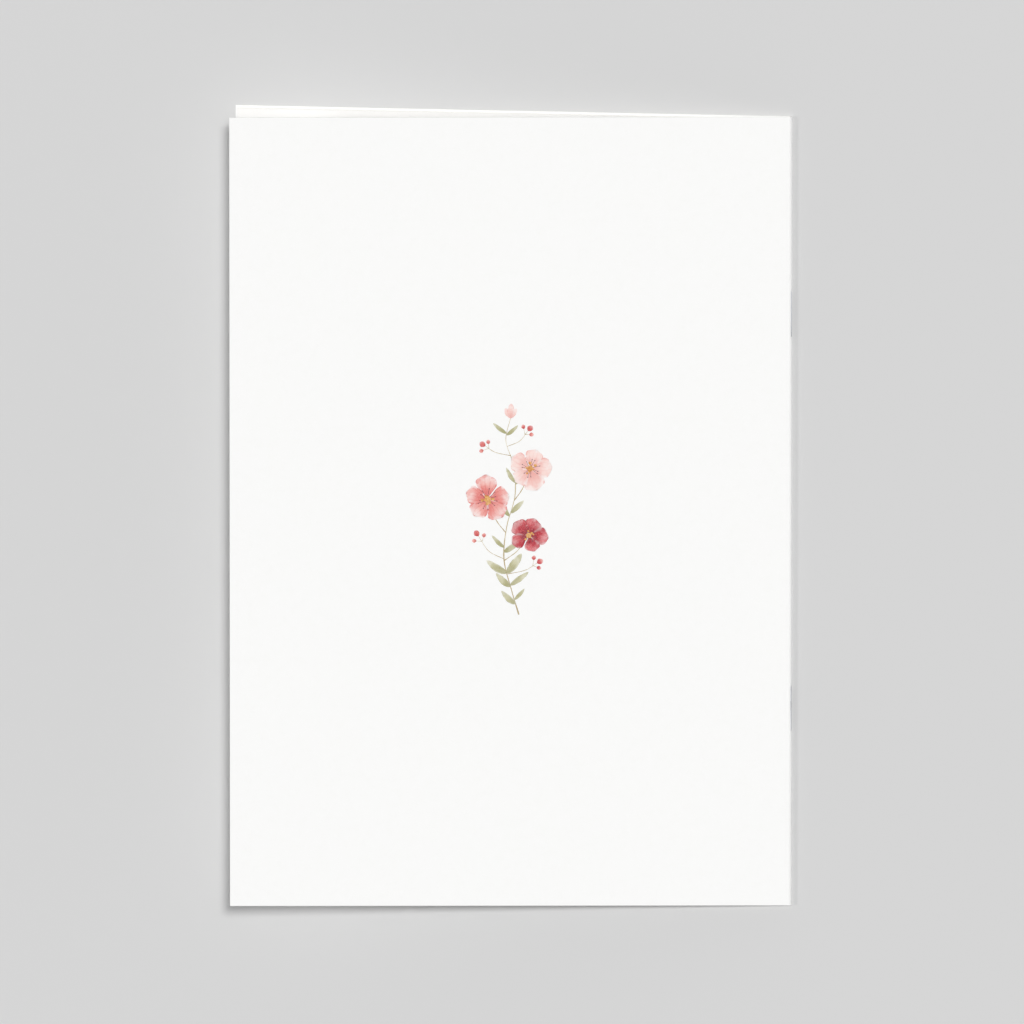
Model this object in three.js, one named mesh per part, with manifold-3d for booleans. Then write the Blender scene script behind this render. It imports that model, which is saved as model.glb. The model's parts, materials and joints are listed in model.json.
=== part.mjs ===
// A small stapled booklet, as given out at a christening: a card cover folded round a few folded
// sheets, with two wire staples through the fold. It lies on its back cover, and the front cover
// springs a little open. Millimetres and degrees. +Z is up, +Y is the head of the page, and the
// fold is on the +X side. The origin is under the middle of the booklet, on what it lies on.

import * as THREE from 'three';
import { mergeVertices } from 'three/addons/utils/BufferGeometryUtils.js';
import Module from 'manifold-3d';

// Driving dimensions
const leafWidth = 148; // of the closed cover, from its fore edge to the outside of the fold
const leafHeight = 210; // of the cover, from foot to head
const coverThickness = 0.3; // a 250 g/m2 card
const sheetThickness = 0.15; // a 120 g/m2 paper
const innerSheets = 4; // folded once each, so they give 16 pages
const pageInset = 0.5; // of the inner sheets inside the cover's three cut edges
const coverAirGap = 0.05; // between the inner sheets and the closed cover
const openAngle = 8.5; // of the front cover at rest, from closed
const wireDiameter = 0.45; // of the staples
const wireClearance = 0.15; // round the wire, in the paper and under the crown
const wireBendRadius = 0.35; // at the middle of the wire, where crown, leg and tip meet
const crownLength = 12; // between the middles of a staple's two legs
const tipLength = 4.5; // of each clinched leg, from the middle of the leg
const tipDepth = 0.35; // of the tips' middle inside the centre of the fold
const stapleSpacing = 105; // between the middles of the two staples
const swingClearance = 0.2; // between a crown and the front cover as it turns
const creaseGap = 0.3; // between the turning cover and the part of the fold that stays

// Fineness of the round shapes
const foldSteps = 12;
const bendSteps = 3;
const wireSides = 8;

// The cover and the inner sheets bend round one centre, which is also the hinge line
const pagesRadius = innerSheets * sheetThickness;
const coverInnerRadius = pagesRadius + coverAirGap;
const coverOuterRadius = coverInnerRadius + coverThickness;
const crownRadius = coverOuterRadius + wireClearance + wireDiameter / 2;
const crownOuterRadius = crownRadius + wireDiameter / 2;
const boxWidth = leafWidth - coverOuterRadius + crownOuterRadius;
const foldX = boxWidth / 2 - crownOuterRadius;
const foldZ = coverOuterRadius;
const foreEdgeX = -boxWidth / 2;
const openTurn = THREE.MathUtils.degToRad(openAngle);

// The front cover begins clear of the staples, and the fold's own strip ends inside the circle
// that the front cover's inner corner sweeps
const plateStart = crownOuterRadius + swingClearance;
const sweptRadius = Math.hypot(plateStart, coverInnerRadius);
const stripLength = Math.sqrt((sweptRadius - creaseGap) ** 2 - coverOuterRadius ** 2);
const plateEnd = foldX - foreEdgeX;

const wasm = await Module();
wasm.setup();

const cardWhite = new THREE.MeshStandardMaterial({ color: '#f7f6f3', roughness: 0.85, metalness: 0 });
const paperWhite = new THREE.MeshStandardMaterial({ color: '#f4f2ec', roughness: 0.9, metalness: 0 });
const stapleSteel = new THREE.MeshStandardMaterial({ color: '#b9bcc0', roughness: 0.35, metalness: 1 });

// A closed geometry as a solid that can be joined and cut
function solidOf(geometry) {
  const bare = geometry.clone();
  bare.deleteAttribute('normal');
  bare.deleteAttribute('uv');
  const merged = mergeVertices(bare);
  return new wasm.Manifold(
    new wasm.Mesh({
      numProp: 3,
      vertProperties: merged.getAttribute('position').array,
      triVerts: new Uint32Array(merged.index.array),
    }),
  );
}

// A solid as a geometry, with plain facets
function geometryOf(solid) {
  const { vertProperties, triVerts } = solid.getMesh();
  const geometry = new THREE.BufferGeometry();
  geometry.setAttribute('position', new THREE.BufferAttribute(vertProperties, 3));
  geometry.setIndex(new THREE.BufferAttribute(triVerts, 1));
  const faceted = geometry.toNonIndexed();
  faceted.computeVertexNormals();
  return faceted;
}

// Points on a circle round (centreX, centreZ), both ends included
function arcPoints(centreX, centreZ, radius, fromTurn, toTurn, steps) {
  return Array.from({ length: steps + 1 }, (_, step) => {
    const turn = THREE.MathUtils.lerp(fromTurn, toTurn, step / steps);
    return new THREE.Vector2(centreX + radius * Math.cos(turn), centreZ + radius * Math.sin(turn));
  });
}

// An outline in X and Z as a bar that runs along Y, centred on Y = 0
function barAlongY(outline, length) {
  const bar = new THREE.ExtrudeGeometry(new THREE.Shape(outline), { depth: length, bevelEnabled: false });
  bar.translate(0, 0, -length / 2);
  bar.rotateX(Math.PI / 2);
  return bar;
}

// A flat path with each inner corner rounded to the wire's bend
function bentPath(corners) {
  const points = [corners[0]];
  corners.slice(1, -1).forEach((corner, i) => {
    const arriving = corner.clone().sub(corners[i]).normalize();
    const leaving = corners[i + 2].clone().sub(corner).normalize();
    const start = corner.clone().addScaledVector(arriving, -wireBendRadius);
    const centre = start.clone().addScaledVector(leaving, wireBendRadius);
    for (let step = 0; step <= bendSteps; step += 1) {
      const turn = (step / bendSteps) * (Math.PI / 2);
      const point = centre.clone();
      point.addScaledVector(leaving, -wireBendRadius * Math.cos(turn));
      point.addScaledVector(arriving, wireBendRadius * Math.sin(turn));
      points.push(point);
    }
  });
  points.push(corners.at(-1));
  return points;
}

// A round wire along a flat path in the plane of the staples, with a ring of corners at each point
function wireAlong(points, radius) {
  const positions = [];
  points.forEach((point, i) => {
    const arriving = point.clone().sub(points[i - 1] ?? point).normalize();
    const leaving = (points[i + 1] ?? point).clone().sub(point).normalize();
    const along = arriving.add(leaving).normalize();
    for (let side = 0; side < wireSides; side += 1) {
      const turn = (side / wireSides) * 2 * Math.PI;
      const across = radius * Math.cos(turn);
      positions.push(point.x - along.y * across, point.y + along.x * across, foldZ + radius * Math.sin(turn));
    }
  });
  const corners = [];
  for (let side = 0; side < wireSides; side += 1) {
    const next = (side + 1) % wireSides;
    for (let ring = 0; ring + 1 < points.length; ring += 1) {
      const near = ring * wireSides;
      const far = near + wireSides;
      corners.push(near + side, near + next, far + next, near + side, far + next, far + side);
    }
  }
  const lastRing = (points.length - 1) * wireSides;
  for (let side = 1; side + 1 < wireSides; side += 1) {
    corners.push(0, side + 1, side, lastRing, lastRing + side, lastRing + side + 1);
  }
  const wire = new THREE.BufferGeometry();
  wire.setAttribute('position', new THREE.Float32BufferAttribute(positions, 3));
  wire.setIndex(corners);
  wire.computeVertexNormals();
  return wire;
}

// The staples pass through the fold in the plane at foldZ: the crown runs along the outside of the
// fold, the legs go inwards through every sheet, and the tips are clinched towards each other
const crownX = foldX + crownRadius;
const tipX = foldX - tipDepth;
const stapleMiddles = [stapleSpacing / 2, -stapleSpacing / 2];

function staple(middleY) {
  const upperLegY = middleY + crownLength / 2;
  const lowerLegY = middleY - crownLength / 2;
  const corners = [
    new THREE.Vector2(tipX, upperLegY - tipLength),
    new THREE.Vector2(tipX, upperLegY),
    new THREE.Vector2(crownX, upperLegY),
    new THREE.Vector2(crownX, lowerLegY),
    new THREE.Vector2(tipX, lowerLegY),
    new THREE.Vector2(tipX, lowerLegY + tipLength),
  ];
  return wireAlong(bentPath(corners), wireDiameter / 2);
}

// What one leg and its tip take out of the paper
function legHole(legY, towardsMiddle) {
  const corners = [
    new THREE.Vector2(tipX, legY + towardsMiddle * (tipLength + wireClearance)),
    new THREE.Vector2(tipX, legY),
    new THREE.Vector2(crownX, legY),
  ];
  return solidOf(wireAlong(bentPath(corners), wireDiameter / 2 + wireClearance));
}

function pierced(geometry) {
  let solid = solidOf(geometry);
  stapleMiddles.forEach((middleY) => {
    solid = solid.subtract(legHole(middleY + crownLength / 2, -1));
    solid = solid.subtract(legHole(middleY - crownLength / 2, 1));
  });
  return geometryOf(solid);
}

// The back cover lies flat, turns up round the fold and ends in a short strip under the crease of
// the front cover
function backCover() {
  const stripTurn = Math.PI / 2 - openTurn;
  const outer = arcPoints(foldX, foldZ, coverOuterRadius, -Math.PI / 2, stripTurn, foldSteps);
  const inner = arcPoints(foldX, foldZ, coverInnerRadius, stripTurn, -Math.PI / 2, foldSteps);
  const strip = new THREE.Vector2(-Math.sin(stripTurn), Math.cos(stripTurn)).multiplyScalar(stripLength);
  const outline = [
    new THREE.Vector2(foreEdgeX, 0),
    ...outer,
    outer.at(-1).clone().add(strip),
    inner[0].clone().add(strip),
    ...inner,
    new THREE.Vector2(foreEdgeX, coverThickness),
  ];
  return pierced(barAlongY(outline, leafHeight));
}

// The front cover is a flat leaf, drawn closed about the hinge line
function frontCover() {
  const leaf = new THREE.BoxGeometry(plateEnd - plateStart, leafHeight, coverThickness);
  leaf.translate(-(plateStart + plateEnd) / 2, 0, coverInnerRadius + coverThickness / 2);
  return leaf;
}

// The inner sheets lie one in another, as one block with a round fold
function innerPages() {
  const fold = arcPoints(foldX, foldZ, pagesRadius, -Math.PI / 2, Math.PI / 2, foldSteps);
  const outline = [
    new THREE.Vector2(foreEdgeX + pageInset, foldZ - pagesRadius),
    ...fold,
    new THREE.Vector2(foreEdgeX + pageInset, foldZ + pagesRadius),
  ];
  return pierced(barAlongY(outline, leafHeight - 2 * pageInset));
}

function named(name, geometry, material) {
  const mesh = new THREE.Mesh(geometry, material);
  mesh.name = name;
  return mesh;
}

const booklet = new THREE.Group();
booklet.add(named('back_cover', backCover(), cardWhite));
booklet.add(named('inner_pages', innerPages(), paperWhite));
booklet.add(named('staple_upper', staple(stapleMiddles[0]), stapleSteel));
booklet.add(named('staple_lower', staple(stapleMiddles[1]), stapleSteel));

const coverHinge = new THREE.Group();
coverHinge.position.set(foldX, 0, foldZ);
coverHinge.rotation.y = openTurn;
coverHinge.add(named('front_cover', frontCover(), cardWhite));
booklet.add(coverHinge);

export default booklet;
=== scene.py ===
import json
import math

import bpy
import numpy as np
from mathutils import Matrix, Vector


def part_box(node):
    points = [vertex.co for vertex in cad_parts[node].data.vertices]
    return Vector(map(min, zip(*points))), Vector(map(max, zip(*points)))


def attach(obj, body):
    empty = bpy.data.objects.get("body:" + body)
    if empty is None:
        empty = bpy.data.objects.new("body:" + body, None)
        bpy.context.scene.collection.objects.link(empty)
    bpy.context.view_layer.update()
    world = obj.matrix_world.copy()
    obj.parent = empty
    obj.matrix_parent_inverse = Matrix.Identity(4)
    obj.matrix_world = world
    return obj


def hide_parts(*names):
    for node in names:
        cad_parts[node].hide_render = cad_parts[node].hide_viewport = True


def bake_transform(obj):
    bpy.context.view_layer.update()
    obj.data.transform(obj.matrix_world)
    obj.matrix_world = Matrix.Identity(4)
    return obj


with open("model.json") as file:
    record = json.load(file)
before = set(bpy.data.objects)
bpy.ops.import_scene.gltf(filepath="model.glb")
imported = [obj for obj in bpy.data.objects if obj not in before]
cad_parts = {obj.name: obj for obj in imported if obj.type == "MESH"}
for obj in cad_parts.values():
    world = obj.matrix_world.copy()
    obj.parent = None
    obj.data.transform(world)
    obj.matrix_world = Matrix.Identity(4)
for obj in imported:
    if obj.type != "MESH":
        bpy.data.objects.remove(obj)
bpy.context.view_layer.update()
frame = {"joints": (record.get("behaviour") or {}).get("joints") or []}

# Lengths are in metres, and MM is there to write them plainly
MM = 0.001

# The booklet's own sizes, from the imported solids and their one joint
HINGE_JOINT = frame["joints"][0]
FOLD_X, _, FOLD_Z = HINGE_JOINT["pos_m"]
OPENING = -math.radians(HINGE_JOINT["range_deg"][0])
BACK_LOW, BACK_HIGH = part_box("back_cover")
PAGES_LOW, PAGES_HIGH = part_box("inner_pages")
CARD = 0.30 * MM
OUTER_RADIUS = FOLD_Z
LEAF_LENGTH = FOLD_X - BACK_LOW.x
LEAF_MIDDLE = LEAF_LENGTH / 2
HALF_HEIGHT = BACK_HIGH.y
PAGES_RADIUS = FOLD_Z - PAGES_LOW.z

# Directions along the raised front leaf and out of it, and towards the head and the fold
LEAF_ALONG = Vector((-math.cos(OPENING), 0, math.sin(OPENING)))
LEAF_OUT = Vector((math.sin(OPENING), 0, math.cos(OPENING)))
FOLD_CENTRE = Vector((FOLD_X, 0, FOLD_Z))
HEADWARDS = np.array((0, 1, 0))
FOLDWARDS = np.array((1, 0, 0))

# The card. Each leaf starts just clear of the hinge line, so that the two never share a plane, and the
# round of the fold reaches a little over both, dipping inwards by a share of that reach.
LEAF_START = 0.05 * MM
FOLD_END_REACH = 2 * LEAF_START
FOLD_END_DIP = 0.05
WAVINESS = 0.03 * MM
FLAT_LENGTH = 20 * MM  # beside the fold, where the waves set in

# The inner sheets. How far each lies off its neighbours is in millimetres.
INNER_SHEETS = 4
SHEET_FILL = 0.86  # share of its place in the pile that a sheet fills
SHEET_SHIFT = 0.10
SHEET_SHORTNESS = 0.12
SHEET_INSET = 0.1 * MM

# Staples, and the dent that a crown presses into the fold
WIRE = 0.45 * MM
CROWN_LENGTH = 12 * MM
TIP_LENGTH = 4.5 * MM
TIP_DEPTH = 0.35 * MM
WIRE_BEND = 0.35 * MM
WIRE_END_SQUEEZE = 0.55
DENT_DEPTH = 0.43 * MM
DENT_WIDTH = 0.36 * MM
DENT_RUN_OUT = 0.4 * MM
INNER_DENT = 0.85  # share of the dent that reaches the card's inside
STAPLES = {
    "upper_staple": "staple_upper",
    "lower_staple": "staple_lower",
}

# Fineness of the meshes
LEAF_POINTS = 72
HEIGHT_POINTS = 100
FOLD_POINTS = 29
SHEET_POINTS = 18
SHEET_FOLD_POINTS = 17
SHEET_HEIGHT_POINTS = 40
WIRE_SIDES = 20
WIRE_BEND_STEPS = 6
NEAR_STAPLE = 2.5 * MM
NEAR_STAPLE_SPACING = 0.4 * MM
SHEET_SHARP = math.radians(40)
WIRE_SHARP = math.radians(50)

# The print
LAYER = 0.004 * MM  # one wash of colour
SINK = 0.010 * MM  # of each wash into the card
RIM_THINNING = 0.8
STROKE_COLUMNS = 5
WASH_END = 0.0015  # share of its length at which a wash ends, still a little wide
BLUNTNESS = 0.62
NOTCH_WIDTH = 0.35
NOTCHED_TIP_ROUNDING = 0.10

# Its blossoms. PETAL_START is in millimetres, and the other lengths are shares of a blossom's size.
PETALS = 5
PETAL_START = 0.25
PETAL_LAYER = 2
STAMENS = 11
STAMEN_START = 0.07
STAMEN_TWIST = 0.12
STAMEN_LAYER = 7.4
HEART_DABS = 9
HEART_WIDTH = 0.15
HEART_REACH = 0.12
HEART_TURN = 2.4  # from one dab to the next
HEART_LAYER = 8.6

# The camera stands far off, nearly square to the front leaf across the page and tipped towards its head
PICTURE_WIDTH = 269.6 * MM
LENS = 1500.0
SENSOR = 36.0
CAMERA_LEAN = math.radians(8.1)
CAMERA_TIP = math.radians(8.8)
AIM_RIGHT = 0.81 * MM
AIM_UP = 0.03 * MM

# Light. A lamp's leans to the right and to the head, and the width of its disc, are in degrees.
DOME_STRENGTH = 0.128
WALL_STRENGTH = 0.95
WALL_FALLOFF = 3.0
LAMPS = {
    "key_light": dict(energy=1.52, right=12.0, head=14, width=7),
    "front_fill": dict(energy=0.62, right=8.1, head=8.8, width=9),
    "left_fill": dict(energy=0.60, right=-48, head=4, width=14),
}
BACKGROUND = 0.669
FLOOR_REACH = 16.0
FLOOR_DROP = 0.02 * MM


def srgb(red, green, blue):
    """A colour given as it looks on a screen, 0 to 255, as linear RGBA."""
    shares = (c / 255 for c in (red, green, blue))
    linear = (s / 12.92 if s <= 0.04045 else ((s + 0.055) / 1.055) ** 2.4 for s in shares)
    return (*linear, 1.0)


PAPER_COLOUR = srgb(250, 250, 249)


# Meshes


def placed(name, data):
    """A mesh, a lamp or a camera as an object of the scene."""
    made = bpy.data.objects.new(name, data)
    bpy.context.scene.collection.objects.link(made)
    return made


def sheet_faces(rows, columns, first):
    """Faces of a closed sheet whose top grid starts at vertex first and whose bottom grid follows it.
    Returns (faces of the two sides, faces of the cut edges)."""
    top = first + np.arange(rows * columns).reshape(rows, columns)
    under = top + rows * columns

    def quads(a, b, c, d):
        return np.stack([a.ravel(), b.ravel(), c.ravel(), d.ravel()], 1)

    sides = [
        quads(top[:-1, :-1], top[:-1, 1:], top[1:, 1:], top[1:, :-1]),
        quads(under[:-1, :-1], under[1:, :-1], under[1:, 1:], under[:-1, 1:]),
    ]
    edges = [
        quads(top[:-1, 0], top[1:, 0], under[1:, 0], under[:-1, 0]),
        quads(top[1:, -1], top[:-1, -1], under[:-1, -1], under[1:, -1]),
        quads(top[0, 1:], top[0, :-1], under[0, :-1], under[0, 1:]),
        quads(top[-1, :-1], top[-1, 1:], under[-1, 1:], under[-1, :-1]),
    ]
    return np.concatenate(sides), np.concatenate(edges)


def sheets_object(name, sheets, materials):
    """One object of closed sheets. Each sheet is (top grid, bottom grid, {attribute: grid}), where a
    grid of points has the shape (rows, columns, 3). A second material is for the cut edges."""
    points, faces, kinds = [], [], []
    values = {}
    first = 0
    for top, under, attributes in sheets:
        rows, columns, _ = top.shape
        points += [top.reshape(-1, 3), under.reshape(-1, 3)]
        sides, edges = sheet_faces(rows, columns, first)
        faces += [sides, edges]
        kinds += [np.zeros(len(sides), np.int32), np.ones(len(edges), np.int32)]
        for key, grid in attributes.items():
            values.setdefault(key, []).append(np.tile(np.asarray(grid, float).ravel(), 2))
        first += 2 * rows * columns
    mesh = bpy.data.meshes.new(name)
    mesh.from_pydata(np.concatenate(points).tolist(), [], np.concatenate(faces).tolist())
    for key, lists in values.items():
        mesh.attributes.new(key, "FLOAT", "POINT").data.foreach_set("value", np.concatenate(lists))
    for material in materials:
        mesh.materials.append(material)
    kind = np.concatenate(kinds)
    if len(materials) > 1:
        mesh.polygons.foreach_set("material_index", kind)
    mesh.polygons.foreach_set("use_smooth", np.ones(len(kind), bool))
    mesh.set_sharp_from_angle(angle=SHEET_SHARP)
    mesh.update()
    return placed(name, mesh)


# The card cover


def waves(along, across):
    """The slight waviness of a sheet of card that has been handled, in metres, always inwards."""
    crossed = np.sin(along * 31 + 0.7) * np.sin(across * 23 + 0.4)
    high = crossed + 0.5 * np.sin(along * 52 - across * 37)
    return -WAVINESS * (1.5 + high) / 3


def cover_leaf(start, along, out, materials, name):
    """A leaf of the cover, which runs from the fold's round along one direction to the fore edge."""
    distance = np.linspace(LEAF_START, LEAF_LENGTH, LEAF_POINTS)
    height = np.linspace(-HALF_HEIGHT, HALF_HEIGHT, HEIGHT_POINTS)
    s, y = np.meshgrid(distance, height, indexing="ij")
    lift = waves(s, y) * np.clip(s / FLAT_LENGTH, 0, 1) ** 2
    base = np.array(start) + s[..., None] * np.array(along) + y[..., None] * HEADWARDS
    outside = base + (OUTER_RADIUS + lift)[..., None] * np.array(out)
    inside = base + (OUTER_RADIUS - CARD + lift)[..., None] * np.array(out)
    return sheets_object(name, [(outside, inside, {})], materials)


def fold_heights(low_y, high_y, count):
    """Places along the fold, to the micrometre: even, and close together round the staples."""
    places = set(np.round(np.linspace(low_y, high_y, count), 6))
    for node in STAPLES.values():
        low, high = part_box(node)
        near = np.arange(low.y - NEAR_STAPLE, high.y + NEAR_STAPLE, NEAR_STAPLE_SPACING)
        places |= set(np.round(near, 6))
    return np.array(sorted(places))


def pressed_in(y, z):
    """How far a staple's crown presses the fold in, at a height y and z above the wire."""
    dent = np.zeros_like(y)
    for node in STAPLES.values():
        low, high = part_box(node)
        past_crown = np.abs(y - (low.y + high.y) / 2) - CROWN_LENGTH / 2
        along_wire = 1 / (1 + np.exp(past_crown / DENT_RUN_OUT))
        dent = np.maximum(dent, DENT_DEPTH * along_wire * np.exp(-((z / DENT_WIDTH) ** 2)))
    return dent


def cover_fold(materials):
    """The round of the fold, from the back leaf to the front leaf, with a dent under each staple."""
    turn = np.linspace(-math.pi / 2, math.pi / 2 - OPENING, FOLD_POINTS)
    turn = np.concatenate([turn[:1], turn, turn[-1:]])
    a, y = np.meshgrid(turn, fold_heights(-HALF_HEIGHT, HALF_HEIGHT, HEIGHT_POINTS), indexing="ij")
    direction = np.stack([np.cos(a), np.zeros_like(a), np.sin(a)], -1)
    base = np.array(FOLD_CENTRE) + y[..., None] * HEADWARDS
    base[0] += FOLD_END_REACH * np.array((-1, 0, FOLD_END_DIP))
    base[-1] += FOLD_END_REACH * (np.array(LEAF_ALONG) - FOLD_END_DIP * np.array(LEAF_OUT))
    inner_radius = OUTER_RADIUS - CARD
    dent = pressed_in(y, OUTER_RADIUS * np.sin(a))
    inner_dent = INNER_DENT * pressed_in(y, inner_radius * np.sin(a))
    outside = base + OUTER_RADIUS * direction - dent[..., None] * FOLDWARDS
    inside = base + inner_radius * direction - inner_dent[..., None] * FOLDWARDS
    return sheets_object("cover_fold", [(outside, inside, {})], materials)


# The inner sheets


def folded_path(radius, reach):
    """A folded sheet's cross-section, as rows of (x, z, x outwards, z outwards)."""
    lower = [(FOLD_X - d, FOLD_Z - radius, 0, -1) for d in np.linspace(reach, 0, SHEET_POINTS)[:-1]]
    bend = []
    for turn in np.linspace(-math.pi / 2, math.pi / 2, SHEET_FOLD_POINTS):
        out_x, out_z = math.cos(turn), math.sin(turn)
        bend.append((FOLD_X + radius * out_x, FOLD_Z + radius * out_z, out_x, out_z))
    upper = [(FOLD_X - d, FOLD_Z + radius, 0, 1) for d in np.linspace(0, reach, SHEET_POINTS)[1:]]
    return np.array(lower + bend + upper)


def across_page(x, z):
    """Places or directions in the cross-section as a column of points in space."""
    return np.stack([x, np.zeros(len(x)), z], 1)[:, None, :]


def inner_sheets(materials):
    """Folded sheets, one in another, each a little off its neighbours as it came from the stapler."""
    chance = np.random.default_rng(11)
    pitch = PAGES_RADIUS / INNER_SHEETS
    thickness = SHEET_FILL * pitch
    low_y, high_y = PAGES_LOW.y + SHEET_INSET, PAGES_HIGH.y - SHEET_INSET
    sheets = []
    for k in range(INNER_SHEETS):
        radius = pitch * (k + 0.5)
        shift = chance.uniform(-SHEET_SHIFT, SHEET_SHIFT) * MM
        reach = FOLD_X - PAGES_LOW.x + chance.uniform(-SHEET_SHORTNESS, 0.0) * MM
        x, z, out_x, out_z = folded_path(radius, reach).T
        height = fold_heights(low_y, high_y, SHEET_HEIGHT_POINTS) + shift
        middle = across_page(x, z) + height[None, :, None] * HEADWARDS
        out = across_page(out_x, out_z)
        bulge = np.clip(out_x, 0, 1)[:, None] * INNER_DENT * radius / PAGES_RADIUS
        dent = bulge * pressed_in(middle[..., 1], middle[..., 2] - FOLD_Z)
        middle = middle - dent[..., None] * FOLDWARDS
        sheets.append((middle + out * thickness / 2, middle - out * thickness / 2, {}))
    return sheets_object("inner_sheets", sheets, materials)


# Staples


def rounded(corners):
    """A path in X and Y through right-angled corners, each rounded to the wire's bend."""
    path = [Vector(corners[0])]
    for before, corner, after in zip(corners, corners[1:], corners[2:]):
        corner = Vector(corner)
        arriving = (corner - Vector(before)).normalized()
        leaving = (Vector(after) - corner).normalized()
        centre = corner - arriving * WIRE_BEND + leaving * WIRE_BEND
        for step in range(WIRE_BEND_STEPS + 1):
            turn = step / WIRE_BEND_STEPS * math.pi / 2
            across = arriving * WIRE_BEND * math.sin(turn)
            path.append(centre - leaving * WIRE_BEND * math.cos(turn) + across)
    path.append(Vector(corners[-1]))
    return path


def wire_object(name, path, height, material):
    """A round wire along a flat path at one height, with ends cut to a short chisel."""
    points, faces = [], []
    for i, point in enumerate(path):
        before = path[max(i - 1, 0)]
        after = path[min(i + 1, len(path) - 1)]
        along = ((point - before).normalized() + (after - point).normalized()).normalized()
        squeeze = WIRE_END_SQUEEZE if i in (0, len(path) - 1) else 1.0
        for side in range(WIRE_SIDES):
            turn = math.tau * side / WIRE_SIDES
            across = WIRE / 2 * math.cos(turn)
            up = squeeze * WIRE / 2 * math.sin(turn)
            points.append((point.x - along.y * across, point.y + along.x * across, height + up))
    for ring in range(len(path) - 1):
        near, far = ring * WIRE_SIDES, (ring + 1) * WIRE_SIDES
        for side in range(WIRE_SIDES):
            after = (side + 1) % WIRE_SIDES
            faces.append((near + side, near + after, far + after, far + side))
    last = (len(path) - 1) * WIRE_SIDES
    faces.append(tuple(reversed(range(WIRE_SIDES))))
    faces.append(tuple(last + side for side in range(WIRE_SIDES)))
    mesh = bpy.data.meshes.new(name)
    mesh.from_pydata(points, [], faces)
    mesh.materials.append(material)
    mesh.polygons.foreach_set("use_smooth", np.ones(len(faces), bool))
    mesh.set_sharp_from_angle(angle=WIRE_SHARP)
    return placed(name, mesh)


def staple(name, node, material):
    """A wire staple: crown pressed into the outside of the fold, legs through it, tips clinched inside."""
    low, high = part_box(node)
    middle = (low.y + high.y) / 2
    crown_x = FOLD_X + OUTER_RADIUS - DENT_DEPTH + WIRE / 2
    tip_x = FOLD_X - TIP_DEPTH
    top, bottom = middle + CROWN_LENGTH / 2, middle - CROWN_LENGTH / 2
    corners = [
        (tip_x, top - TIP_LENGTH),
        (tip_x, top),
        (crown_x, top),
        (crown_x, bottom),
        (tip_x, bottom),
        (tip_x, bottom + TIP_LENGTH),
    ]
    return wire_object(name, rounded(corners), FOLD_Z, material)


# Brushed shapes of the print. Their plane has U to the right and V up from the middle of the front leaf,
# in millimetres.


def on_leaf(u, v, lift):
    """Points of the print's plane as points in space, lift metres above the front leaf."""
    along = (LEAF_MIDDLE - u * MM)[..., None] * np.array(LEAF_ALONG)
    out = (OUTER_RADIUS + lift)[..., None] * np.array(LEAF_OUT)
    up = (v * MM)[..., None] * HEADWARDS
    return np.array(FOLD_CENTRE) + along + out + up


def brushed(u, v, lift, along, across, rim, shade):
    """A thin closed sheet that sits in the card, with what its colour is mixed from."""
    attributes = {"along": along, "across": across, "rim": rim, "shade": np.full_like(along, shade)}
    return on_leaf(u, v, lift), on_leaf(u, v, np.full_like(along, -SINK)), attributes


def wash(base, heading, length, width, layer, shade, narrow, notch=0.0, bend=0.0, wobble=0.05, phase=0.0,
         rows=22, columns=13):
    """One brushed shape that starts at base and runs along heading: a petal, leaf or berry. narrow
    shifts its widest place towards the tip below 1 and towards the base above it. notch cuts the tip."""
    t_line = (1 - np.cos(np.linspace(0, math.pi, rows))) / 2
    t, w = np.meshgrid(t_line, np.linspace(-1, 1, columns), indexing="ij")
    profile = np.sin(math.pi * np.clip(t, WASH_END, 1 - WASH_END) ** (1 / narrow)) ** BLUNTNESS
    ripple = 1 + wobble * np.sin(7 * t + phase + 1.3 * w) + 0.4 * wobble * np.sin(17 * t + 2 * phase)
    half = width / 2 * profile * ripple
    forward = length * t - notch * length * np.exp(-((w / NOTCH_WIDTH) ** 2)) * t**8
    if notch:
        forward = forward - NOTCHED_TIP_ROUNDING * length * (np.abs(w) ** 2.5) * t**5
    sideways = half * w + bend * length * t**2
    u = base[0] + forward * math.sin(heading) + sideways * math.cos(heading)
    v = base[1] + forward * math.cos(heading) - sideways * math.sin(heading)
    rim = np.maximum(np.abs(w), np.abs(2 * t - 1) ** 3)
    return brushed(u, v, LAYER * (layer + 1 - RIM_THINNING * rim**6), t, w, rim, shade)


def through(points, count):
    """A smooth curve through the points (Catmull-Rom), as count points."""
    before = 2 * np.array(points[0]) - points[1]
    beyond = 2 * np.array(points[-1]) - points[-2]
    p = np.array([before, *points, beyond], float)
    spans = len(points) - 1
    place = np.linspace(0, spans, count)
    k = np.minimum(place.astype(int), spans - 1)
    t = (place - k)[:, None]
    a, b, c, d = p[k], p[k + 1], p[k + 2], p[k + 3]
    return 0.5 * (2 * b + (c - a) * t + (2 * a - 5 * b + 4 * c - d) * t**2 + (3 * b - a - 3 * c + d) * t**3)


def stroke(points, width, end_width, layer, shade, count):
    """One brushed line along a smooth curve through the points."""
    line = through(points, count)
    direction = np.gradient(line, axis=0)
    direction /= np.linalg.norm(direction, axis=1)[:, None]
    right = np.stack([direction[:, 1], -direction[:, 0]], 1)
    t_line = np.linspace(0, 1, count)
    t, w = np.meshgrid(t_line, np.linspace(-1, 1, STROKE_COLUMNS), indexing="ij")
    swell = 1 + 0.18 * np.sin(t_line * 19 + shade * 9) + 0.10 * np.sin(t_line * 43 + shade * 5)
    half = (width + (end_width - width) * t_line) / 2 * swell
    spot = line[:, None, :] + right[:, None, :] * (half[:, None] * w)[..., None]
    rim = np.abs(w)
    lift = LAYER * (layer + 1 - RIM_THINNING * rim**4)
    return brushed(spot[..., 0], spot[..., 1], lift, t, w, rim, shade)


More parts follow.
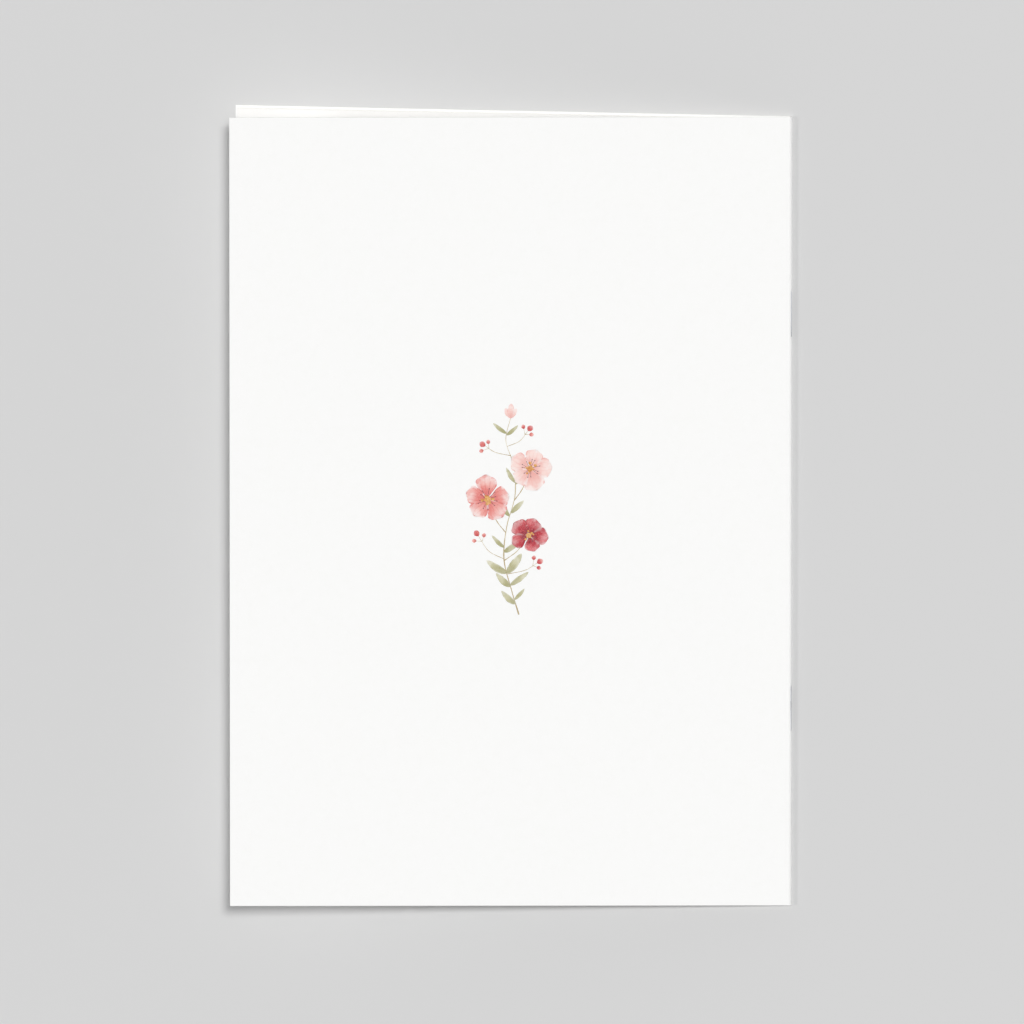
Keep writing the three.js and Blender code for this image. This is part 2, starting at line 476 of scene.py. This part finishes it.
def away_from(place, heading, reach):
    """The place that lies reach away along a heading, clockwise from straight up."""
    return (place[0] + reach * math.sin(heading), place[1] + reach * math.cos(heading))


def blossom(centre, size, turn, layer, chance):
    """Overlapping petals round a centre."""
    petals = []
    for k in range(PETALS):
        heading = turn + math.tau * k / PETALS + chance.uniform(-0.10, 0.10)
        length = size / 2 * chance.uniform(0.88, 1.10)
        width = length * chance.uniform(0.80, 0.96)
        shade = chance.uniform(0, 1)
        bend = chance.uniform(-0.06, 0.06)
        phase = chance.uniform(0, 6)
        base = away_from(centre, heading, PETAL_START)
        petals.append(wash(base, heading, length, width, layer + k, shade, narrow=0.62, notch=0.10,
                           bend=bend, phase=phase))
    return petals


def heart(centre, size, layer, chance):
    """The dabs of a blossom's centre: one broad, and small ones on a spiral over it."""
    broad = HEART_WIDTH * size
    below = (centre[0], centre[1] - broad / 2)
    dabs = [wash(below, 0, broad, broad, layer - 0.6, 0.5, narrow=1.0, rows=10, columns=9)]
    for k in range(HEART_DABS):
        turn = k * HEART_TURN
        away = HEART_REACH * size * math.sqrt(k / HEART_DABS)
        spot = (centre[0] + away * math.cos(turn), centre[1] + away * math.sin(turn))
        wide = size * chance.uniform(0.050, 0.080)
        heading = chance.uniform(0, 6.28)
        shade = chance.uniform(0, 1)
        dabs.append(wash(spot, heading, wide, wide, layer + 0.2 * k, shade, narrow=1.0, rows=8, columns=7))
    return dabs


def stamens(centre, size, layer, chance):
    """Fine dark threads round a blossom's centre, each with a dot."""
    marks = []
    for k in range(STAMENS):
        heading = math.tau * k / STAMENS + chance.uniform(-0.2, 0.2)
        reach = size * chance.uniform(0.15, 0.22)
        foot = away_from(centre, heading, STAMEN_START * size)
        tip = away_from(centre, heading + STAMEN_TWIST, reach)
        marks.append(stroke([foot, tip], 0.10, 0.07, layer, chance.uniform(0, 1), count=6))
        marks.append(wash(tip, heading, 0.30, 0.26, layer + 0.5, chance.uniform(0, 1), narrow=1.0, rows=7,
                          columns=5))
    return marks


# Materials


def new_material(name):
    """(material, its node tree, its Principled shader)"""
    material = bpy.data.materials.new(name)
    material.use_nodes = True
    tree = material.node_tree
    return material, tree, tree.nodes["Principled BSDF"]


def feed(tree, socket, source):
    """Puts a number, a colour or another node's output into a socket."""
    if isinstance(source, bpy.types.NodeSocket):
        tree.links.new(source, socket)
    else:
        socket.default_value = source


def noise(tree, scale, detail, roughness, stretch=(1, 1, 1)):
    """Noise over the piece's own coordinates, scale in features per metre."""
    place = tree.nodes.new("ShaderNodeTexCoord")
    mapping = tree.nodes.new("ShaderNodeMapping")
    mapping.inputs["Scale"].default_value = stretch
    tree.links.new(place.outputs["Object"], mapping.inputs["Vector"])
    texture = tree.nodes.new("ShaderNodeTexNoise")
    texture.inputs["Scale"].default_value = scale
    texture.inputs["Detail"].default_value = detail
    texture.inputs["Roughness"].default_value = roughness
    tree.links.new(mapping.outputs["Vector"], texture.inputs["Vector"])
    return texture.outputs["Fac"]


def ranged(tree, source, low, high, to_low, to_high, smooth=False):
    """source between low and high, as a number between to_low and to_high."""
    node = tree.nodes.new("ShaderNodeMapRange")
    node.interpolation_type = "SMOOTHSTEP" if smooth else "LINEAR"
    feed(tree, node.inputs["Value"], source)
    node.inputs["From Min"].default_value = low
    node.inputs["From Max"].default_value = high
    node.inputs["To Min"].default_value = to_low
    node.inputs["To Max"].default_value = to_high
    return node.outputs["Result"]


def arithmetic(tree, operation, a, b=0.0):
    """One step of arithmetic on numbers or nodes' outputs."""
    node = tree.nodes.new("ShaderNodeMath")
    node.operation = operation
    feed(tree, node.inputs[0], a)
    feed(tree, node.inputs[1], b)
    return node.outputs["Value"]


def added(tree, a, b):
    return arithmetic(tree, "ADD", a, b)


def times(tree, a, b):
    return arithmetic(tree, "MULTIPLY", a, b)


def mixed(tree, factor, a, b):
    """Colour a turned towards colour b."""
    node = tree.nodes.new("ShaderNodeMix")
    node.data_type = "RGBA"
    feed(tree, node.inputs["Factor"], factor)
    feed(tree, node.inputs[6], a)
    feed(tree, node.inputs[7], b)
    return node.outputs[2]


def attribute(tree, name):
    node = tree.nodes.new("ShaderNodeAttribute")
    node.attribute_name = name
    return node.outputs["Fac"]


def bumped(tree, shader, height, distance, strength):
    node = tree.nodes.new("ShaderNodeBump")
    node.inputs["Strength"].default_value = strength
    node.inputs["Distance"].default_value = distance
    tree.links.new(height, node.inputs["Height"])
    tree.links.new(node.outputs["Normal"], shader.inputs["Normal"])


def felt(tree):
    """The height of an uncoated sheet's surface: a soft felt mark with short fibres in it."""
    tooth = noise(tree, scale=1500, detail=5, roughness=0.6)
    fibres = noise(tree, scale=900, detail=3, roughness=0.5, stretch=(1.0, 0.22, 1.0))
    return added(tree, times(tree, tooth, 0.6), times(tree, fibres, 0.4))


def felted(tree, shader, low_roughness, high_roughness, specular):
    """Gives a shader the surface of an uncoated sheet."""
    surface = felt(tree)
    rough = ranged(tree, surface, 0.3, 0.7, low_roughness, high_roughness)
    tree.links.new(rough, shader.inputs["Roughness"])
    bumped(tree, shader, surface, distance=0.03 * MM, strength=0.35)
    shader.inputs["Specular IOR Level"].default_value = specular


def sheet_material(name, pale, deep, roughness):
    """A sheet's face: cloudy where the fibres lie thinner, with a faint speckle."""
    material, tree, shader = new_material(name)
    cloud = ranged(tree, noise(tree, scale=420, detail=5, roughness=0.65), 0.4, 0.7, 0, 0.22, smooth=True)
    speck = ranged(tree, noise(tree, scale=2600, detail=3, roughness=0.6), 0.55, 0.8, 0, 0.5)
    tree.links.new(mixed(tree, added(tree, cloud, speck), pale, deep), shader.inputs["Base Color"])
    felted(tree, shader, roughness - 0.06, roughness + 0.08, specular=0.35)
    return material


def cut_edge_material(name, pale, deep):
    """Where a knife has gone through the sheet: the fibres show end on, a little darker than the face."""
    material, tree, shader = new_material(name)
    fibre_ends = noise(tree, scale=2400, detail=4, roughness=0.6, stretch=(0.12, 0.12, 3.0))
    streak = ranged(tree, fibre_ends, 0.35, 0.7, 0, 1)
    tree.links.new(mixed(tree, streak, pale, deep), shader.inputs["Base Color"])
    tree.links.new(ranged(tree, streak, 0, 1, 0.8, 0.95), shader.inputs["Roughness"])
    bumped(tree, shader, streak, distance=0.02 * MM, strength=0.5)
    return material


def wire_material(name, dark, bright):
    """Bright steel wire with the fine lines that drawing it left."""
    material, tree, shader = new_material(name)
    shader.inputs["Metallic"].default_value = 1.0
    draw_lines = noise(tree, scale=3500, detail=3, roughness=0.5, stretch=(1.0, 0.06, 1.0))
    tree.links.new(mixed(tree, draw_lines, dark, bright), shader.inputs["Base Color"])
    tree.links.new(ranged(tree, draw_lines, 0.3, 0.7, 0.22, 0.42), shader.inputs["Roughness"])
    bumped(tree, shader, draw_lines, distance=0.01 * MM, strength=0.3)
    return material


def watercolour(name, pale, middle, deep, veins, bleed, core, sheer):
    """Transparent colour brushed on the card. veins, bleed, core and sheer say how strong its veins, its
    faded rim, the pigment at its foot and its thinning towards the tip are."""
    material, tree, shader = new_material(name)
    along, across = attribute(tree, "along"), attribute(tree, "across")
    rim, shade = attribute(tree, "rim"), attribute(tree, "shade")
    flow = noise(tree, scale=300, detail=2, roughness=0.5)
    pool = noise(tree, scale=620, detail=3, roughness=0.55)
    grain = noise(tree, scale=4200, detail=3, roughness=0.6)

    # The wash, a little different from shape to shape
    colour = mixed(tree, ranged(tree, flow, 0.40, 0.60, 0, 1, smooth=True), pale, middle)
    colour = mixed(tree, ranged(tree, shade, 0, 1, 0.0, 0.45), colour, middle)

    # Thinner towards the tip
    towards_tip = ranged(tree, along, 0.35, 1.0, 0, sheer, smooth=True)
    not_pooled = ranged(tree, pool, 0.60, 0.42, 0.3, 1, smooth=True)
    colour = mixed(tree, times(tree, towards_tip, not_pooled), colour, PAPER_COLOUR)

    # Pigment at the foot, and veins that fan out from it
    uneven_along = added(tree, along, times(tree, pool, 0.5))
    foot = ranged(tree, uneven_along, 0.25, 0.95, core, 0.0, smooth=True)
    colour = mixed(tree, foot, colour, deep)
    fan = added(tree, times(tree, across, 15.0), times(tree, pool, 7.0))
    lines = ranged(tree, arithmetic(tree, "SINE", fan), 0.55, 1.0, 0, veins, smooth=True)
    vein = times(tree, lines, ranged(tree, along, 0.05, 0.8, 1.0, 0.2))
    colour = mixed(tree, vein, colour, deep)

    # The rim: a line of pigment where the wash dried, and paper where it ran out
    rim_line = ranged(tree, rim, 0.80, 0.97, 0, 0.55, smooth=True)
    dried = times(tree, rim_line, ranged(tree, pool, 0.42, 0.56, 0, 1, smooth=True))
    colour = mixed(tree, dried, colour, deep)
    rim_band = ranged(tree, rim, 0.55, 1.0, 0, bleed, smooth=True)
    faded = times(tree, rim_band, ranged(tree, pool, 0.56, 0.44, 0, 1, smooth=True))
    colour = mixed(tree, faded, colour, PAPER_COLOUR)

    # The card's own tooth
    colour = mixed(tree, ranged(tree, grain, 0.5, 0.75, 0, 0.22), colour, PAPER_COLOUR)
    tree.links.new(colour, shader.inputs["Base Color"])
    felted(tree, shader, 0.70, 0.86, specular=0.3)
    return material


CARD_FACE = sheet_material("uncoated_card", PAPER_COLOUR, srgb(245, 245, 243), 0.78)
CARD_EDGE = cut_edge_material("card_cut_edge", srgb(240, 239, 235), srgb(226, 223, 217))
PAGE_FACE = sheet_material("inner_paper", srgb(247, 246, 244), srgb(242, 241, 238), 0.84)
PAGE_EDGE = cut_edge_material("page_cut_edge", srgb(240, 238, 233), srgb(222, 219, 212))
STAPLE_WIRE = wire_material("drawn_staple_wire", srgb(190, 192, 197), srgb(220, 221, 225))


# The booklet

front_leaf = cover_leaf(FOLD_CENTRE, LEAF_ALONG, LEAF_OUT, [CARD_FACE, CARD_EDGE], "front_leaf")
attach(front_leaf, "front")
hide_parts("front_cover")

back_leaf = cover_leaf(FOLD_CENTRE, (-1, 0, 0), (0, 0, -1), [CARD_FACE, CARD_EDGE], "back_leaf")
back_leaf.data.flip_normals()
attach(back_leaf, "back")
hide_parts("back_cover")

# The round of the fold, whose two ends reach a little over the leaves
fold = cover_fold([CARD_FACE, CARD_EDGE])
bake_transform(fold)

pages = inner_sheets([PAGE_FACE, PAGE_EDGE])
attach(pages, "back")
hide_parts("inner_pages")

for name, node in STAPLES.items():
    wire = staple(name, node, STAPLE_WIRE)
    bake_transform(wire)
    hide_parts(node)


# The printed sprig: one S-shaped stem with blossoms on alternate sides, twigs of berries and paired
# leaves. Places are (U, V).

STEM = [(2.6, -27.3), (0.6, -20.5), (-1.3, -12.5), (-0.6, -4.0), (1.6, 4.5), (1.2, 12.5), (-0.8, 19.0),
        (0.4, 25.0)]
STEM_LINE = through(STEM, 400)

# Each blossom's centre, size, turn, and the V at which its stalk leaves the stem
BLOSSOMS = {
    "blush": ((5.6, 11.6), 11.5, 0.25, 3.0),
    "coral": ((-5.6, 3.4), 12.5, 0.0, -5.5),
    "crimson": ((5.2, -6.2), 9.5, 0.4, -13.0),
}

# Each twig's V on the stem and its end, each pair of leaves' V and length, each bud's heading and length
TWIGS = [(15.0, (-6.2, 17.6)), (-12.5, (-8.0, -6.4)), (17.5, (5.0, 21.6)), (-16.5, (7.4, -13.6))]
LEAF_PAIRS = [(-24.0, 4.6), (-19.8, 6.4), (-16.0, 7.0), (-10.0, 5.6), (-1.2, 4.6), (7.0, 4.4), (20.4, 4.2)]
BUDS = [(-0.45, 3.1), (0.55, 3.0), (0.05, 3.9)]
BUDS_V = 25.0


def on_stem(v):
    return tuple(STEM_LINE[np.argmin(np.abs(STEM_LINE[:, 1] - v))])


def between(start, end, right, up):
    """The place that lies these shares of the way from start to end."""
    return (start[0] * (1 - right) + end[0] * right, start[1] * (1 - up) + end[1] * up)


def main_stems(chance):
    """The stem and the blossoms' stalks."""
    stems = [stroke(STEM, 0.30, 0.12, 0, 0.2, count=160)]
    for centre, _, _, joined in BLOSSOMS.values():
        start = on_stem(joined)
        halfway = between(start, centre, 0.55, 0.4)
        stems.append(stroke([start, halfway, centre], 0.22, 0.16, 0.2, chance.uniform(0, 1), count=50))
    return stems


def berry_twigs(chance):
    """Twigs of three berries each, as (stems, berries)."""
    stems, berries = [], []
    for joined, end in TWIGS:
        start = on_stem(joined)
        halfway = between(start, end, 0.6, 0.35)
        stems.append(stroke([start, halfway, end], 0.16, 0.10, 0.2, chance.uniform(0, 1), count=40))
        heading = math.atan2(end[0] - halfway[0], end[1] - halfway[1])
        berries.append(wash(end, heading, 1.75, 1.55, 1, chance.uniform(0, 1), narrow=0.9, rows=14,
                            columns=11))
        fork = between(halfway, end, 0.65, 0.65)
        for turn, reach in ((-0.9, 1.5), (0.9, 1.1)):
            away = heading + turn
            tip = away_from(fork, away, reach)
            stems.append(stroke([fork, tip], 0.12, 0.08, 0.4, chance.uniform(0, 1), count=12))
            berries.append(wash(tip, away, 1.2, 1.1, 1.2, chance.uniform(0, 1), narrow=0.95, rows=12,
                                columns=9))
    return stems, berries


def paired_leaves(chance):
    """Leaves to the left and the right of the stem, no two alike."""
    leaves = []
    for v, length in LEAF_PAIRS:
        for side in (-1, 1):
            base = on_stem(v + chance.uniform(-0.9, 0.9))
            heading = side * chance.uniform(0.65, 1.15)
            reach = length * chance.uniform(0.75, 1.2)
            width = reach * chance.uniform(0.24, 0.34)
            shade = chance.uniform(0, 1)
            bend = -side * chance.uniform(0.04, 0.20)
            layer = 0.75 + 0.25 * side
            leaves.append(wash(base, heading, reach, width, layer, shade, narrow=1.15, bend=bend,
                               wobble=0.04, rows=26, columns=9))
    return leaves


def top_buds(chance):
    """Buds at the top of the stem."""
    top = on_stem(BUDS_V)
    buds = []
    for k, (heading, length) in enumerate(BUDS):
        buds.append(wash(top, heading, length, length * 0.46, 1 + k, chance.uniform(0, 1), narrow=0.95,
                         bend=0.05 * heading))
    return buds


def printed(name, shapes, material):
    piece = sheets_object(name, shapes, [material])
    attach(piece, "front")


def sprig():
    chance = np.random.default_rng(23)
    stems = main_stems(chance)
    twigs, berries = berry_twigs(chance)
    leaves = paired_leaves(chance)
    buds = top_buds(chance)
    hearts, threads = [], []
    petals = {}
    for key, (centre, size, turn, _) in BLOSSOMS.items():
        petals[key] = blossom(centre, size, turn, PETAL_LAYER, chance)
        threads += stamens(centre, size, STAMEN_LAYER, chance)
        hearts += heart(centre, size, HEART_LAYER, chance)

    olive = watercolour("wash_olive", srgb(216, 212, 180), srgb(186, 182, 138), srgb(150, 146, 98),
                        veins=0.3, bleed=0.35, core=0.5, sheer=0.35)
    twig = watercolour("wash_twig", srgb(210, 196, 156), srgb(192, 172, 124), srgb(158, 134, 90),
                       veins=0.1, bleed=0.1, core=0.5, sheer=0.2)
    blush = watercolour("wash_blush", srgb(250, 222, 215), srgb(245, 198, 190), srgb(230, 150, 142),
                        veins=0.35, bleed=0.5, core=0.6, sheer=0.5)
    coral = watercolour("wash_coral", srgb(246, 188, 178), srgb(236, 148, 140), srgb(212, 92, 92),
                        veins=0.55, bleed=0.5, core=0.75, sheer=0.65)
    crimson = watercolour("wash_crimson", srgb(226, 112, 116), srgb(190, 42, 58), srgb(136, 14, 36),
                          veins=0.45, bleed=0.3, core=0.8, sheer=0.35)
    berry = watercolour("wash_berry", srgb(240, 156, 144), srgb(214, 86, 86), srgb(164, 40, 54),
                        veins=0.1, bleed=0.3, core=0.5, sheer=0.3)
    ochre = watercolour("wash_ochre", srgb(238, 186, 104), srgb(218, 144, 72), srgb(166, 92, 46),
                        veins=0.1, bleed=0.1, core=0.5, sheer=0.1)
    plum = watercolour("wash_plum", srgb(124, 66, 80), srgb(96, 40, 60), srgb(66, 24, 44),
                       veins=0.1, bleed=0.0, core=0.4, sheer=0.0)

    printed("print_stems", stems + twigs, twig)
    printed("print_leaves", leaves, olive)
    printed("print_berries", berries, berry)
    printed("print_blush_petals", petals["blush"] + buds, blush)
    printed("print_coral_petals", petals["coral"], coral)
    printed("print_crimson_petals", petals["crimson"], crimson)
    printed("print_stamens", threads, plum)
    printed("print_hearts", hearts, ochre)


sprig()


# Floor, light and camera


def floor():
    """A plain pale floor just under the booklet, so that the two never share a plane."""
    signs = [(-1, -1), (1, -1), (1, 1), (-1, 1)]
    corners = [(x * FLOOR_REACH, y * FLOOR_REACH, -FLOOR_DROP) for x, y in signs]
    mesh = bpy.data.meshes.new("floor")
    mesh.from_pydata(corners, [], [(0, 1, 2, 3)])
    material, _, shader = new_material("pale_floor")
    shader.inputs["Base Color"].default_value = (BACKGROUND, BACKGROUND, BACKGROUND, 1)
    shader.inputs["Roughness"].default_value = 0.9
    shader.inputs["Specular IOR Level"].default_value = 0.0
    mesh.materials.append(material)
    made = placed("floor", mesh)


def dome():
    """Plain light from all round, stronger low down, as pale walls give it. What is seen of it, straight
    or in a gloss, is as pale as the floor."""
    world = bpy.data.worlds.new("studio")
    bpy.context.scene.world = world
    world.use_nodes = True
    tree = world.node_tree
    tree.nodes.clear()
    path = tree.nodes.new("ShaderNodeLightPath")
    seen = arithmetic(tree, "MAXIMUM", path.outputs["Is Camera Ray"], path.outputs["Is Glossy Ray"])
    seen = arithmetic(tree, "MAXIMUM", seen, path.outputs["Is Transmission Ray"])
    place = tree.nodes.new("ShaderNodeTexCoord")
    height = tree.nodes.new("ShaderNodeSeparateXYZ")
    tree.links.new(place.outputs["Generated"], height.inputs[0])
    low = arithmetic(tree, "POWER", ranged(tree, height.outputs["Z"], 0, 1, 1, 0), WALL_FALLOFF)
    light = tree.nodes.new("ShaderNodeBackground")
    light.inputs["Color"].default_value = (1, 1, 1, 1)
    strength = added(tree, times(tree, low, WALL_STRENGTH), DOME_STRENGTH)
    tree.links.new(strength, light.inputs["Strength"])
    backdrop = tree.nodes.new("ShaderNodeBackground")
    backdrop.inputs["Color"].default_value = (BACKGROUND, BACKGROUND, BACKGROUND, 1)
    mix = tree.nodes.new("ShaderNodeMixShader")
    out = tree.nodes.new("ShaderNodeOutputWorld")
    tree.links.new(seen, mix.inputs[0])
    tree.links.new(light.outputs[0], mix.inputs[1])
    tree.links.new(backdrop.outputs[0], mix.inputs[2])
    tree.links.new(mix.outputs[0], out.inputs["Surface"])


def lamp(name, energy, right, head, width):
    """A distant soft lamp that leans from straight overhead."""
    light = bpy.data.lights.new(name, "SUN")
    light.energy = energy
    light.angle = math.radians(width)
    made = placed(name, light)
    towards = Vector((math.tan(math.radians(right)), math.tan(math.radians(head)), 1))
    made.rotation_euler = towards.to_track_quat("Z", "Y").to_euler()
    made.location = towards


def camera():
    """The camera, aimed at the middle of the front leaf."""
    right = Vector((math.cos(CAMERA_LEAN), 0, -math.sin(CAMERA_LEAN)))
    square = Vector((math.sin(CAMERA_LEAN), 0, math.cos(CAMERA_LEAN)))
    back = square * math.cos(CAMERA_TIP) + Vector((0, math.sin(CAMERA_TIP), 0))
    up = back.cross(right)
    leaf_middle = FOLD_CENTRE + LEAF_ALONG * LEAF_MIDDLE + LEAF_OUT * OUTER_RADIUS
    target = leaf_middle + right * AIM_RIGHT + up * AIM_UP
    distance = PICTURE_WIDTH * LENS / SENSOR
    lens = bpy.data.cameras.new("camera")
    lens.lens = LENS
    lens.sensor_width = SENSOR
    lens.clip_start = 0.1
    lens.clip_end = 100
    eye = placed("camera", lens)
    turned = Matrix((right, up, back)).transposed().to_4x4()
    eye.matrix_world = Matrix.Translation(target + back * distance) @ turned
    bpy.context.scene.camera = eye


floor()
dome()
for name, settings in LAMPS.items():
    lamp(name, **settings)
camera()
bpy.context.scene.view_settings.view_transform = "Standard"
